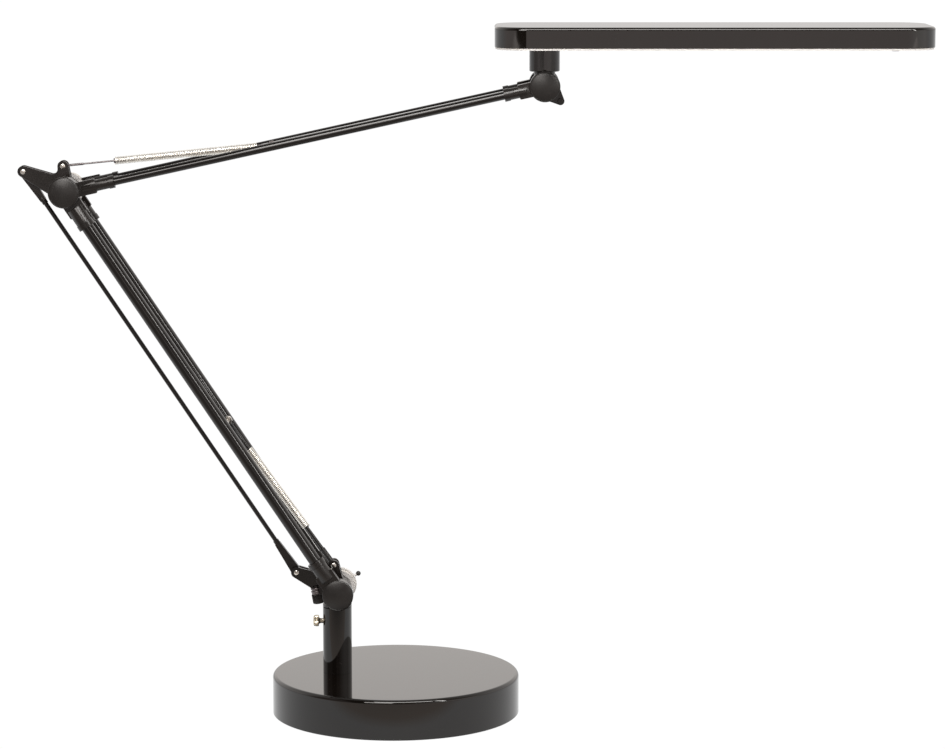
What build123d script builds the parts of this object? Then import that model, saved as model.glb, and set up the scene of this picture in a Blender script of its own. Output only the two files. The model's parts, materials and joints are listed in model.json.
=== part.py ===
"""A balanced-arm desk lamp: round weighted base, twin-tube arms, tension springs and a flat LED head.

Millimetres, +Z up, +X towards the lamp head, -Y towards the viewer.
The origin is the centre of the base's underside. The lamp stands in its working pose.
"""
import os
from math import atan2, cos, degrees, pi, radians, sin, sqrt, tau

from build123d import *

os.makedirs("parts", exist_ok=True)

# ---------------------------------------------------------------- driving sizes
# clearances
running = 0.05          # radial, between a pin and the hole it turns in
seat_gap = 0.05         # between pieces fixed to each other
face_gap = 0.3          # between faces that slide past each other

# base
base_radius = 100.0
base_height = 33.0
cover_wall = 1.5
cover_edge_round = 3.0
cover_floor_gap = 0.8
pad_inset = 5.0         # from the cover's rim to the pad's
pad_thickness = 2.5
weight_thickness = 12.0
weight_chamfer = 2.0
boss_radius = 18.0
bolt_radius = 4.0
bolt_head_radius = 6.5
bolt_head_height = 5.0
bolt_reach = 6.0        # how far the bolt enters the post

# post and its thumbscrew
post_x = -47.4
post_radius = 11.7
post_wall = 2.0
post_drop = 13.4        # from the base pivot down to the post's top
post_plug = 9.0
screw_drop = 12.0       # from the post's top down to the thumbscrew
screw_radius = 2.0
screw_head_radius = 4.6
screw_head_thickness = 4.5
screw_head_round = 1.2
screw_neck = 1.4
screw_standoff = 1.8    # from the post to the screw's neck
knurl_count = 12

# pivots and arms
base_pivot_height = 100.8
base_pivot_offset = 1.3 # from the post's axis towards the head
arm_length = 390.0      # between pivot centres, both arms
lower_angle = 123.5     # from +X, in the rest pose
upper_angle = 12.4
tube_offset = 18.5      # each tube stands this far from the middle plane
lower_tube_radius = 5.0
upper_tube_radius = 3.3
tube_wall = 0.8
tube_depth = 17.0       # how far a tube enters its socket
socket_wall = 1.5
upper_socket_wall = 1.3
socket_collar = 0.5
collar_length = 4.5
socket_start = 15.0
neck_step = 1.2         # the neck by the eye is this much wider than the socket
neck_part = 0.64        # of the fitting's reach
neck_round = 1.0
socket_reach = 33.0
long_socket_reach = 41.0
axle_radius = 3.0
axle_head_radius = 5.6
axle_head_height = 1.5
counterbore_radius = 6.4
counterbore_depth = 2.0
hub_radius = 9.8
hub_half_width = 14.0
eye_inner = 14.3        # distances from the middle plane
eye_middle = 18.3
eye_outer = 22.5
eye_radius = 12.5
elbow_eye_radius = 12.4
head_eye_radius = 12.1
cap_thickness = 2.9
cap_round = 1.2

# brackets that carry the strut and the springs
strut_ear = (-33.9, 15.3)      # from the pivot, the same at the base and at the elbow
base_spring_ear = (-3.9, 21.2)
elbow_spring_ear = (-2.2, 19.6)
ear_radius = 4.5
spring_ear_radius = 4.3
bracket_half_width = 5.0
ear_fillet = 4.0
slot_half_width = 2.6
slot_reach = 9.5
slot_floor = 1.2        # material left round the hub
flange_thickness = 1.8
neck_radius = 8.0
groove_depth = 1.5
groove_margin = 1.0
pin_radius = 1.5
pin_head_radius = 2.4
pin_head_height = 0.8

# strut
strut_radius = 1.8
strut_eye_half_width = 2.3
strut_eye_radius = 4.0
strut_sleeve_radius = 2.35
strut_taper = 28.0
strut_sleeve = 6.0

# springs and the rods that draw them
spring_radius = 3.2     # outside
wire_radius = 0.5
spring_turns = 20
spring_plug = 9.0       # length of rod or plug inside each end of a coil
lower_hook_reach = 29.0        # from a coil's end to its cross pin
upper_hook_reach = 12.0
lower_draw_reach = 38.0        # from the ear's pin to the coil
upper_draw_reach = 41.5
draw_rod_radius = 1.5
draw_wire_radius = 0.7
draw_eye_radius = 3.4
draw_sleeve = 16.0
draw_sleeve_radius = 2.1
coil_bore_fit = 0.25    # radial, between a coil and the plug in it
lower_anchor = (165.0, -3.0)   # along and across the arm
upper_anchor = (168.0, 0.0)
anchor_eye_half_width = 1.9
anchor_pin_bite = 0.6   # how far the cross pin enters each tube

# knob under the base bracket
knob_radius = 4.9
knob_length = 15.5
knob_lean = 9.0
knob_top = (-18.6, 4.8)        # from the base pivot
knob_stud_radius = 1.5
knob_stud_reach = 5.0
knob_clearance = 0.5    # round the knob where the bracket is cut back for it
knob_flutes = 14
flute_radius = 0.45

# lever behind the base pivot
lever_angle = 30.0
lever_disc_radius = 13.8
lever_reach = 16.4
lever_stem_radius = 0.9
stem_bite = 2.0         # how far the stem enters the disc
lever_ball_radius = 2.0

# head
yoke_inset = 1.5        # the yoke's hub inside the eyes' edge
yoke_spigot_radius = 7.0
yoke_neck_radius = 8.4
yoke_lug = (12.6, -12.4)       # from the head pivot
yoke_lug_radius = 3.2
collar_radius = 12.1
collar_bottom = 11.0    # above the head pivot
collar_height = 20.5
head_length = 346.4
head_width = 96.0
head_overhang = 39.8    # from the swivel's axis to the head's near end
head_side = 16.2
head_corner = 26.0
head_edge_round = 2.5
head_wall = 1.8
diffuser_margin = 0.7
diffuser_lip = 1.8
diffuser_thickness = 2.6
diffuser_tray = 1.2
board_end_gap = 12.0    # from the board's far end to the head's
board_width = 60.0
board_thickness = 1.6
led_size = 3.0
led_height = 0.7
led_column_count = 9
led_row_count = 2
led_pitch = (28.0, 24.0)
board_from_swivel = 26.0
driver_size = (40.0, 56.0, 5.5)
bracket_plate = (44.0, 60.0, 2.0)
nut_radius = 10.0
nut_thickness = 3.0
nut_grip = 0.8          # step at the top of the spigot that the nut sits on
switch_side = 9.0
button_flange = 1.2
button_radius = 3.2
button_from_end = 31.0
button_y = -22.0
button_proud = 1.6
button_travel = 0.8


# ---------------------------------------------------------------- places worked out from the sizes
def turned(vector, angle):
    """An (x, z) vector turned anticlockwise, seen from the front."""
    return (
        vector[0] * cos(radians(angle)) - vector[1] * sin(radians(angle)),
        vector[0] * sin(radians(angle)) + vector[1] * cos(radians(angle)),
    )


def moved(point, vector):
    return (point[0] + vector[0], point[1] + vector[1])


def front_plane(point, angle=0.0):
    """X runs along the angle, Y across it and Z towards the viewer."""
    along = turned((1, 0), angle)
    return Plane(origin=(point[0], 0, point[1]), x_dir=(along[0], 0, along[1]), z_dir=(0, -1, 0))


def cross_plane(plane, along, across=0.0, towards=0.0):
    """A plane square to the given plane's X, for round pieces that run along it."""
    return Plane(
        origin=plane.from_local_coords((along, across, towards)), x_dir=plane.z_dir, z_dir=plane.x_dir
    )


post_top = base_pivot_height - post_drop
screw_height = post_top - screw_drop
base_pivot = (post_x + base_pivot_offset, base_pivot_height)
elbow_pivot = moved(base_pivot, turned((arm_length, 0), lower_angle))
head_pivot = moved(elbow_pivot, turned((arm_length, 0), upper_angle))
lower_plane = front_plane(base_pivot, lower_angle)
upper_plane = front_plane(elbow_pivot, upper_angle)
base_strut_pin = moved(base_pivot, strut_ear)
elbow_strut_pin = moved(elbow_pivot, strut_ear)
base_spring_pin = moved(base_pivot, base_spring_ear)
elbow_spring_pin = moved(elbow_pivot, elbow_spring_ear)
weight_top = pad_thickness + seat_gap + weight_thickness
cover_inside = base_height - cover_wall
sides = {"front": 1, "rear": -1}
pieces = []


def finish(builder, name):
    builder.part.label = name
    pieces.append(builder.part)


# ---------------------------------------------------------------- base
with BuildPart() as foot_pad:
    with BuildSketch():
        Circle(base_radius - pad_inset)
    extrude(amount=pad_thickness)
    chamfer(foot_pad.edges().group_by(Axis.Z)[0], 0.5)
finish(foot_pad, "foot_pad")

with BuildPart() as base_cover:
    with BuildSketch(Plane.XY.offset(cover_floor_gap)):
        Circle(base_radius)
    extrude(amount=base_height - cover_floor_gap)
    fillet(base_cover.edges().group_by(Axis.Z)[-1], cover_edge_round)
    with BuildSketch(Plane.XY.offset(cover_floor_gap)):
        Circle(base_radius - cover_wall)
    extrude(amount=cover_inside - cover_floor_gap, mode=Mode.SUBTRACT)
    with BuildSketch(Plane.XY.offset(cover_inside)):
        with Locations((post_x, 0)):
            Circle(bolt_radius + running)
    extrude(amount=cover_wall, mode=Mode.SUBTRACT)
finish(base_cover, "base_cover")

with BuildPart() as base_weight:
    with BuildSketch(Plane.XY.offset(pad_thickness + seat_gap)):
        Circle(base_radius - cover_wall - face_gap)
    extrude(amount=weight_thickness)
    chamfer(base_weight.edges().group_by(Axis.Z)[-1], weight_chamfer)
    with BuildSketch(Plane.XY.offset(weight_top)):
        with Locations((post_x, 0)):
            Circle(boss_radius)
    extrude(amount=cover_inside - seat_gap - weight_top, taper=4)
    with BuildSketch(Plane.XY.offset(pad_thickness + seat_gap)):
        with Locations((post_x, 0)):
            Circle(bolt_radius + running)
    extrude(amount=base_height, mode=Mode.SUBTRACT)
    with BuildSketch(Plane.XY.offset(pad_thickness + seat_gap)):
        with Locations((post_x, 0)):
            Circle(bolt_head_radius + face_gap)
    extrude(amount=bolt_head_height + seat_gap, mode=Mode.SUBTRACT)
finish(base_weight, "base_weight")

with BuildPart() as post_bolt:
    with BuildSketch(Plane.XY.offset(pad_thickness + seat_gap)):
        with Locations((post_x, 0)):
            RegularPolygon(bolt_head_radius, 6)
    extrude(amount=bolt_head_height)
    with BuildSketch(Plane.XY.offset(pad_thickness + seat_gap + bolt_head_height)):
        with Locations((post_x, 0)):
            Circle(bolt_radius)
    extrude(amount=base_height + bolt_reach - pad_thickness - seat_gap - bolt_head_height)
finish(post_bolt, "post_bolt")

post_foot = base_height + seat_gap
screw_plane = Plane(origin=(post_x, 0, screw_height), x_dir=(0, 1, 0), z_dir=(-1, 0, 0))
with BuildPart() as post:
    with BuildSketch(Plane.XY.offset(post_foot)):
        with Locations((post_x, 0)):
            Circle(post_radius)
    extrude(amount=post_top - post_foot)
    chamfer(post.edges().group_by(Axis.Z)[-1], 0.4)
    with BuildSketch(Plane.XY.offset(post_foot + post_plug)):
        with Locations((post_x, 0)):
            Circle(post_radius - post_wall)
    extrude(amount=post_top, mode=Mode.SUBTRACT)
    with BuildSketch(Plane.XY.offset(post_foot)):
        with Locations((post_x, 0)):
            Circle(bolt_radius + running)
    extrude(amount=bolt_reach + seat_gap, mode=Mode.SUBTRACT)
    with BuildSketch(screw_plane):
        Circle(screw_radius + running)
    extrude(amount=post_radius + 1, mode=Mode.SUBTRACT)
finish(post, "post")

spigot_radius = post_radius - post_wall - running
spigot_foot = post_foot + post_plug + face_gap
groove_radius = spigot_radius - groove_depth
screw_tip = groove_radius + face_gap
head_face = post_radius + screw_standoff + screw_neck
with BuildPart() as thumbscrew:
    with BuildSketch(screw_plane.offset(screw_tip)):
        Circle(screw_radius)
    extrude(amount=post_radius + screw_standoff - screw_tip)
    with BuildSketch(screw_plane.offset(post_radius + screw_standoff)):
        Circle(screw_radius)
    with BuildSketch(screw_plane.offset(head_face)):
        Circle(screw_head_radius * 0.7)
    loft()
    with BuildSketch(screw_plane.offset(head_face)):
        Circle(screw_head_radius)
        with PolarLocations(screw_head_radius, knurl_count):
            Circle(screw_head_radius * 0.1, mode=Mode.SUBTRACT)
    extrude(amount=screw_head_thickness - screw_head_round)
    with BuildSketch(screw_plane.offset(head_face + screw_head_thickness - screw_head_round)):
        Circle(screw_head_radius * 0.9)
    extrude(amount=screw_head_round, taper=45)
finish(thumbscrew, "thumbscrew")


# ---------------------------------------------------------------- brackets at the base and the elbow
def bracket_outline(spring_ear):
    """The hub with its two ears, drawn about the pivot."""
    with BuildSketch() as strut_arm:
        Circle(hub_radius)
        with Locations(strut_ear):
            Circle(ear_radius)
        make_hull()
    with BuildSketch() as spring_arm:
        Circle(hub_radius * 0.6)
        with Locations(spring_ear):
            Circle(spring_ear_radius)
        make_hull()
    with BuildSketch() as outline:
        add(strut_arm.sketch)
        add(spring_arm.sketch)
        corners = outline.vertices().sort_by_distance((spring_ear[0] * 2, hub_radius))[:1]
        fillet(corners, ear_fillet)
    return outline.sketch


def cut_holes(plane, spring_ear):
    """The holes for the two ears' pins and for the axle."""
    with BuildSketch(plane.offset(-hub_half_width)) as holes:
        with Locations(strut_ear, spring_ear):
            Circle(pin_radius + running)
        Circle(axle_radius + running)
    extrude(holes.sketch, amount=2 * hub_half_width, mode=Mode.SUBTRACT)


knob_axis = turned((0, -1), knob_lean)
knob_point = moved(base_pivot, knob_top)
knob_plane = Plane(
    origin=(knob_point[0], 0, knob_point[1]), x_dir=(0, 1, 0), z_dir=(knob_axis[0], 0, knob_axis[1])
)
base_bracket_plane = front_plane(base_pivot)
neck_plane = Plane(origin=(post_x, 0, 0), x_dir=(1, 0, 0), z_dir=(0, -1, 0))
neck_top = base_pivot_height - hub_radius / 2
flange_foot = post_top + face_gap
groove_foot = screw_height - screw_radius - groove_margin
groove_top = screw_height + screw_radius + groove_margin
with BuildPart() as base_bracket:
    with BuildSketch(neck_plane):
        with BuildLine():
            Polyline(
                (0, spigot_foot), (spigot_radius, spigot_foot), (spigot_radius, groove_foot),
                (groove_radius, groove_foot), (groove_radius, groove_top), (spigot_radius, groove_top),
                (spigot_radius, flange_foot), (post_radius, flange_foot),
                (post_radius, flange_foot + flange_thickness), (neck_radius, flange_foot + flange_thickness),
                (neck_radius, neck_top), (0, neck_top), close=True,
            )
        make_face()
    revolve(axis=Axis((post_x, 0, 0), (0, 0, 1)))
    with BuildSketch(base_bracket_plane.offset(-hub_half_width)):
        Circle(hub_radius)
    extrude(amount=2 * hub_half_width)
    with BuildSketch(base_bracket_plane.offset(-bracket_half_width)):
        add(bracket_outline(base_spring_ear))
    extrude(amount=2 * bracket_half_width)
    with BuildSketch(base_bracket_plane.offset(-slot_half_width)):
        with Locations(strut_ear):
            Circle(slot_reach)
        with Locations(base_spring_ear):
            Circle(base_spring_ear[1] - hub_radius - slot_floor)
    extrude(amount=2 * slot_half_width, mode=Mode.SUBTRACT)
    cut_holes(base_bracket_plane, base_spring_ear)
    with BuildSketch(knob_plane):
        Circle(bracket_half_width + knob_clearance)
    extrude(amount=knob_length, mode=Mode.SUBTRACT)
    with BuildSketch(knob_plane.offset(knob_stud_reach)):
        Circle(knob_stud_radius + running)
    extrude(amount=-2 * knob_stud_reach - seat_gap, mode=Mode.SUBTRACT)
finish(base_bracket, "base_bracket")

elbow_bracket_plane = front_plane(elbow_pivot)
with BuildPart() as elbow_bracket:
    with BuildSketch(elbow_bracket_plane.offset(-bracket_half_width)):
        add(bracket_outline(elbow_spring_ear))
    extrude(amount=2 * bracket_half_width)
    chamfer(elbow_bracket.edges().filter_by(Plane.XZ), 0.5)
    with BuildSketch(elbow_bracket_plane.offset(-slot_half_width)):
        Circle(2 * (abs(strut_ear[0]) + ear_radius))
        Circle(hub_radius + slot_floor, mode=Mode.SUBTRACT)
    extrude(amount=2 * slot_half_width, mode=Mode.SUBTRACT)
    with BuildSketch(elbow_bracket_plane.offset(-hub_half_width)):
        Circle(hub_radius)
    extrude(amount=2 * hub_half_width)
    cut_holes(elbow_bracket_plane, elbow_spring_ear)
finish(elbow_bracket, "elbow_bracket")

with BuildPart() as tension_knob:
    with BuildSketch(knob_plane.offset(face_gap)):
        Circle(knob_radius)
        with PolarLocations(knob_radius, knob_flutes):
            Circle(flute_radius, mode=Mode.SUBTRACT)
    extrude(amount=knob_length)
    with BuildSketch(knob_plane.offset(face_gap)):
        Circle(knob_stud_radius)
    extrude(amount=-knob_stud_reach)
finish(tension_knob, "tension_knob")


def pin_through(place, name):
    """A headed pin across both cheeks of a bracket."""
    plane = front_plane(place)
    shank = bracket_half_width + seat_gap
    with BuildPart() as pin:
        with BuildSketch(plane.offset(-shank)):
            Circle(pin_radius)
        extrude(amount=2 * shank)
        for side in sides.values():
            with BuildSketch(plane.offset(side * shank)):
                Circle(pin_head_radius)
            extrude(amount=side * pin_head_height, taper=20)
    finish(pin, name)


pin_through(base_strut_pin, "base_strut_pin")
pin_through(base_spring_pin, "base_spring_pin")
pin_through(elbow_strut_pin, "elbow_strut_pin")
pin_through(elbow_spring_pin, "elbow_spring_pin")


def axle(place, name):
    """A bolt through a hub and both eyes, with its head and nut sunk in the eyes."""
    plane = front_plane(place)
    seat = eye_outer - counterbore_depth + seat_gap
    with BuildPart() as bolt:
        with BuildSketch(plane.offset(-seat)):
            Circle(axle_radius)
        extrude(amount=2 * seat)
        for side in sides.values():
            with BuildSketch(plane.offset(side * seat)):
                RegularPolygon(axle_head_radius, 6)
            extrude(amount=side * axle_head_height)
    finish(bolt, name)


axle(base_pivot, "base_axle")
axle(elbow_pivot, "elbow_axle")
axle(head_pivot, "head_axle")


# ---------------------------------------------------------------- arms
def arm_fitting(name, plane, side, eye, radius, reach, tube_radius, wall):
    """A moulded arm end: an eye for the axle, a neck, and a socket with a collar for the tube."""
    start, depth = eye[0], eye[1] - eye[0]
    mouth = tube_radius + wall
    towards = side * tube_offset
    with BuildPart() as fitting:
        with BuildSketch(plane.offset(side * start)):
            Circle(radius)
            with Locations((reach * neck_part / 2, 0)):
                RectangleRounded(reach * neck_part, 2 * (mouth + neck_step), neck_round)
        extrude(amount=side * depth)
        with BuildSketch(cross_plane(plane, socket_start, towards=towards)):
            Circle(mouth)
        extrude(amount=reach - socket_start)
        with BuildSketch(cross_plane(plane, reach - collar_length, towards=towards)):
            Circle(mouth + socket_collar)
        extrude(amount=collar_length)
        with BuildSketch(cross_plane(plane, reach - tube_depth, towards=towards)):
            Circle(tube_radius + seat_gap)
        extrude(amount=tube_depth, mode=Mode.SUBTRACT)
        with BuildSketch(plane.offset(side * start)):
            Circle(axle_radius + running)
        extrude(amount=side * depth, mode=Mode.SUBTRACT)
        if eye[1] == eye_outer:
            with BuildSketch(plane.offset(side * eye_outer)):
                Circle(counterbore_radius)
            extrude(amount=-side * counterbore_depth, mode=Mode.SUBTRACT)
    finish(fitting, name)


def arm_tube(name, plane, side, start, end, radius, anchor):
    """A tube between two sockets, drilled on its inner side for the spring's cross pin."""
    towards = side * tube_offset
    with BuildPart() as tube:
        with BuildSketch(cross_plane(plane, start, towards=towards)):
            Circle(radius)
            Circle(radius - tube_wall, mode=Mode.SUBTRACT)
        extrude(amount=end - start)
        with BuildSketch(plane.offset(side * (tube_offset - radius - 1))):
            with Locations(anchor):
                Circle(pin_radius + seat_gap)
        extrude(amount=side * (radius + 1), mode=Mode.SUBTRACT)
    finish(tube, name)


def spring_anchor(arm_name, plane, anchor, tube_radius, line):
    """A cross pin between the tubes, and on it a hook whose plug holds the end of the coil."""
    half = tube_offset - sqrt(tube_radius**2 - anchor[1] ** 2) + anchor_pin_bite
    with BuildPart() as cross_pin:
        with BuildSketch(plane.offset(-half)):
            with Locations(anchor):
                Circle(pin_radius)
        extrude(amount=2 * half)
    finish(cross_pin, f"{arm_name}_cross_pin")
    hook_plane = line["plane"]
    with BuildPart() as hook:
        with BuildSketch(hook_plane.offset(-anchor_eye_half_width)):
            with Locations((line["length"], 0)):
                Circle(draw_eye_radius)
        extrude(amount=2 * anchor_eye_half_width)
        with BuildSketch(cross_plane(hook_plane, line["coil_end"] - tail_grip)):
            Circle(draw_rod_radius)
        extrude(amount=line["length"] - line["coil_end"] + tail_grip)
        with BuildSketch(cross_plane(hook_plane, line["coil_end"] - spring_plug)):
            Circle(plug_radius)
        extrude(amount=spring_plug)
        with BuildSketch(hook_plane.offset(-anchor_eye_half_width)):
            with Locations((line["length"], 0)):
                Circle(pin_radius + running)
        extrude(amount=2 * anchor_eye_half_width, mode=Mode.SUBTRACT)
    finish(hook, f"{arm_name}_spring_hook")


def spring_line(plane, anchor, spring_pin, draw_reach, clear):
    """Where a spring runs, from its ear's pin to its cross pin, and where its coil ends."""
    far = plane.from_local_coords((anchor[0], anchor[1], 0))
    run = (far.X - spring_pin[0], far.Z - spring_pin[1])
    length = sqrt(run[0] ** 2 + run[1] ** 2)
    return {
        "plane": front_plane(spring_pin, degrees(atan2(run[1], run[0]))),
        "length": length,
        "coil_start": draw_reach,
        "coil_end": length - clear,
    }


plug_radius = spring_radius - 2 * wire_radius - coil_bore_fit
tail_grip = 1.0


def coil(name, line):
    """A round wire wound on the line, each half turn as two arcs that meet on a common tangent."""
    radius = spring_radius - wire_radius
    plane, start, end = line["plane"], line["coil_start"], line["coil_end"]
    rise = (end - start) / (spring_turns * tau)

    def point(t):
        return plane.from_local_coords((start + rise * t, radius * cos(t), radius * sin(t)))

    def tangent(t):
        ahead = plane.from_local_coords((rise, -radius * sin(t), radius * cos(t)))
        return (ahead - plane.origin).normalized()

    first, last = point(0), point(spring_turns * tau)
    tail = 2 * wire_radius
    with BuildPart() as winding:
        with BuildLine() as wire:
            Line(first - tangent(0) * tail, first)
            for half_turn in range(2 * spring_turns):
                t0, t1 = half_turn * pi, (half_turn + 1) * pi
                p0, p1, d0, d1 = point(t0), point(t1), tangent(t0), tangent(t1)
                chord, both = p1 - p0, d0 + d1
                spread = 2 * (1 - d0.dot(d1))
                reach = (-chord.dot(both) + sqrt(chord.dot(both) ** 2 + spread * chord.dot(chord))) / spread
                q0, q1 = p0 + d0 * reach, p1 - d1 * reach
                joint = (q0 + q1) * 0.5
                TangentArc(p0, joint, tangent=d0)
                TangentArc(joint, p1, tangent=(q1 - q0).normalized())
            Line(last, last + tangent(spring_turns * tau) * tail)
        with BuildSketch(Plane(origin=wire.line @ 0, z_dir=wire.line % 0)):
            RegularPolygon(wire_radius, 6)
        sweep(path=wire.line, clean=False)
    gap = rise * tau * cos(atan2(rise, radius)) - 2 * wire_radius
    print(f"{name}: {spring_turns} turns, least gap {gap:.2f} mm, length {end - start:.1f} mm")
    finish(winding, name)


lower_full_eye = (eye_inner, eye_outer)
inner_eye = (eye_inner, eye_middle)
outer_eye = (eye_middle + face_gap, eye_outer)
lower_top_plane = front_plane(elbow_pivot, lower_angle + 180)
upper_end_plane = front_plane(head_pivot, upper_angle + 180)
tube_end_gap = 0.3
for side_name, side in sides.items():
    arm_fitting(
        f"lower_arm_foot_{side_name}", lower_plane, side, lower_full_eye, eye_radius,
        socket_reach, lower_tube_radius, socket_wall,
    )
    arm_fitting(
        f"lower_arm_top_{side_name}", lower_top_plane, side, inner_eye, elbow_eye_radius,
        socket_reach, lower_tube_radius, socket_wall,
    )
    arm_fitting(
        f"upper_arm_heel_{side_name}", upper_plane, side, outer_eye, elbow_eye_radius,
        long_socket_reach, upper_tube_radius, upper_socket_wall,
    )
    arm_fitting(
        f"upper_arm_tip_{side_name}", upper_end_plane, side, lower_full_eye, head_eye_radius,
        socket_reach, upper_tube_radius, upper_socket_wall,
    )
    buried = tube_depth - tube_end_gap
    arm_tube(
        f"lower_tube_{side_name}", lower_plane, side, socket_reach - buried,
        arm_length - socket_reach + buried, lower_tube_radius, lower_anchor,
    )
    arm_tube(
        f"upper_tube_{side_name}", upper_plane, side, long_socket_reach - buried,
        arm_length - socket_reach + buried, upper_tube_radius, upper_anchor,
    )

lower_line = spring_line(lower_plane, lower_anchor, base_spring_pin, lower_draw_reach, lower_hook_reach)
upper_line = spring_line(upper_plane, upper_anchor, elbow_spring_pin, upper_draw_reach, upper_hook_reach)
spring_anchor("lower", lower_plane, lower_anchor, lower_tube_radius, lower_line)
spring_anchor("upper", upper_plane, upper_anchor, upper_tube_radius, upper_line)
coil("lower_spring", lower_line)
coil("upper_spring", upper_line)


def draw_rod(name, line, radius, sleeve_radius):
    """An eye on the ear's pin and a rod that ends in a plug inside the coil."""
    plane = line["plane"]
    with BuildPart() as rod:
        with BuildSketch(plane.offset(-strut_eye_half_width)):
            Circle(draw_eye_radius)
        extrude(amount=2 * strut_eye_half_width)
        with BuildSketch(cross_plane(plane, 0)):
            Circle(radius)
        extrude(amount=line["coil_start"])
        with BuildSketch(cross_plane(plane, 0)):
            Circle(sleeve_radius)
        extrude(amount=draw_sleeve)
        with BuildSketch(cross_plane(plane, line["coil_start"] - 2 * wire_radius)):
            Circle(plug_radius)
        extrude(amount=spring_plug)
        with BuildSketch(plane.offset(-strut_eye_half_width)):
            Circle(pin_radius + running)
        extrude(amount=2 * strut_eye_half_width, mode=Mode.SUBTRACT)
    finish(rod, name)


draw_rod("lower_draw_rod", lower_line, draw_rod_radius, draw_sleeve_radius)
draw_rod("upper_draw_rod", upper_line, draw_wire_radius, draw_wire_radius * 1.4)


# ---------------------------------------------------------------- strut beside the lower arm
strut_plane = front_plane(base_strut_pin, lower_angle)
strut_end_planes = {"base": strut_plane, "elbow": front_plane(elbow_strut_pin, lower_angle + 180)}
for end_name, plane in strut_end_planes.items():
    with BuildPart() as strut_end:
        with BuildSketch(plane.offset(-strut_eye_half_width)):
            Circle(strut_eye_radius)
            with BuildLine():
                Polyline(
                    (0, strut_eye_radius), (strut_taper, strut_sleeve_radius),
                    (strut_taper, -strut_sleeve_radius), (0, -strut_eye_radius), close=True,
                )
            make_face()
        extrude(amount=2 * strut_eye_half_width)
        with BuildSketch(cross_plane(plane, strut_taper - strut_sleeve / 2)):
            Circle(strut_sleeve_radius)
        extrude(amount=strut_sleeve)
        with BuildSketch(cross_plane(plane, strut_taper - strut_sleeve / 2)):
            Circle(strut_radius + seat_gap)
        extrude(amount=strut_sleeve, mode=Mode.SUBTRACT)
        with BuildSketch(plane.offset(-strut_eye_half_width)):
            Circle(pin_radius + running)
        extrude(amount=2 * strut_eye_half_width, mode=Mode.SUBTRACT)
    finish(strut_end, f"strut_end_{end_name}")

rod_start = strut_taper - strut_sleeve / 2 + seat_gap
with BuildPart() as strut_rod:
    with BuildSketch(cross_plane(strut_plane, rod_start)):
        Circle(strut_radius)
    extrude(amount=arm_length - 2 * rod_start)
finish(strut_rod, "strut_rod")


# ---------------------------------------------------------------- caps over the axles
def cap(name, place, side, radius):
    """A low domed disc that closes the counterbore of an outer eye."""
    plane = front_plane(place)
    with BuildPart() as disc:
        with BuildSketch(plane.offset(side * (eye_outer + seat_gap))):
            Circle(radius)
        extrude(amount=side * cap_thickness)
        fillet(disc.edges().sort_by(Axis.Y)[0 if side > 0 else -1], cap_round)
    finish(disc, name)


for place, joint_name, radius in (
    (base_pivot, "base", eye_radius),
    (elbow_pivot, "elbow", elbow_eye_radius),
    (head_pivot, "head", head_eye_radius),
):
    cap(f"{joint_name}_cap_front", place, 1, radius)
cap("elbow_cap_rear", elbow_pivot, -1, elbow_eye_radius)
cap("head_cap_rear", head_pivot, -1, head_eye_radius)

lever_plane = front_plane(base_pivot, lever_angle)
lever_seat = -(eye_outer + seat_gap + face_gap)
with BuildPart() as lock_lever:
    with BuildSketch(lever_plane.offset(lever_seat)):
        Circle(lever_disc_radius)
    extrude(amount=-cap_thickness)
    fillet(lock_lever.edges().sort_by(Axis.Y)[-1], cap_round)
    with BuildSketch(cross_plane(lever_plane, lever_disc_radius - stem_bite, towards=lever_seat - cap_thickness / 2)):
        Circle(lever_stem_radius)
    extrude(amount=lever_reach - lever_disc_radius + stem_bite)
finish(lock_lever, "lock_lever")

ball_plane = cross_plane(lever_plane, lever_reach + lever_ball_radius / 2, towards=lever_seat - cap_thickness / 2)
with BuildPart() as lever_ball:
    with Locations(ball_plane):
        Sphere(lever_ball_radius)
        Cylinder(lever_stem_radius + seat_gap, lever_ball_radius, mode=Mode.SUBTRACT,
                 align=(Align.CENTER, Align.CENTER, Align.MAX))
finish(lever_ball, "lever_ball")


# ---------------------------------------------------------------- head
head_plane = front_plane(head_pivot)
collar_foot = head_pivot[1] + collar_bottom
head_bottom = collar_foot + collar_height
diffuser_bottom = head_bottom - diffuser_lip
plate_bottom = diffuser_bottom + diffuser_thickness + seat_gap
nut_seat = plate_bottom + bracket_plate[2] + face_gap
swivel_x = head_pivot[0]
head_centre_x = swivel_x - head_overhang + head_length / 2
with BuildPart() as head_yoke:
    with BuildSketch(head_plane.offset(-hub_half_width)):
        Circle(head_eye_radius - yoke_inset)
    extrude(amount=2 * hub_half_width)
    with BuildSketch(head_plane.offset(-bracket_half_width)):
        Circle(head_eye_radius - yoke_inset)
        with Locations(yoke_lug):
            Circle(yoke_lug_radius)
        make_hull()
    extrude(amount=2 * bracket_half_width)
    with BuildSketch(Plane.XY.offset(head_pivot[1])):
        with Locations((swivel_x, 0)):
            Circle(yoke_neck_radius)
    extrude(amount=collar_bottom - face_gap)
    with BuildSketch(Plane.XY.offset(head_pivot[1])):
        with Locations((swivel_x, 0)):
            Circle(yoke_spigot_radius)
    extrude(amount=nut_seat - head_pivot[1])
    with BuildSketch(Plane.XY.offset(nut_seat)):
        with Locations((swivel_x, 0)):
            Circle(yoke_spigot_radius - nut_grip - seat_gap)
    extrude(amount=nut_thickness)
    with BuildSketch(head_plane.offset(-hub_half_width)):
        Circle(axle_radius + running)
        with Locations(yoke_lug):
            Circle(pin_radius + running)
    extrude(amount=2 * hub_half_width, mode=Mode.SUBTRACT)
finish(head_yoke, "head_yoke")

pin_through(moved(head_pivot, yoke_lug), "yoke_pin")

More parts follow.
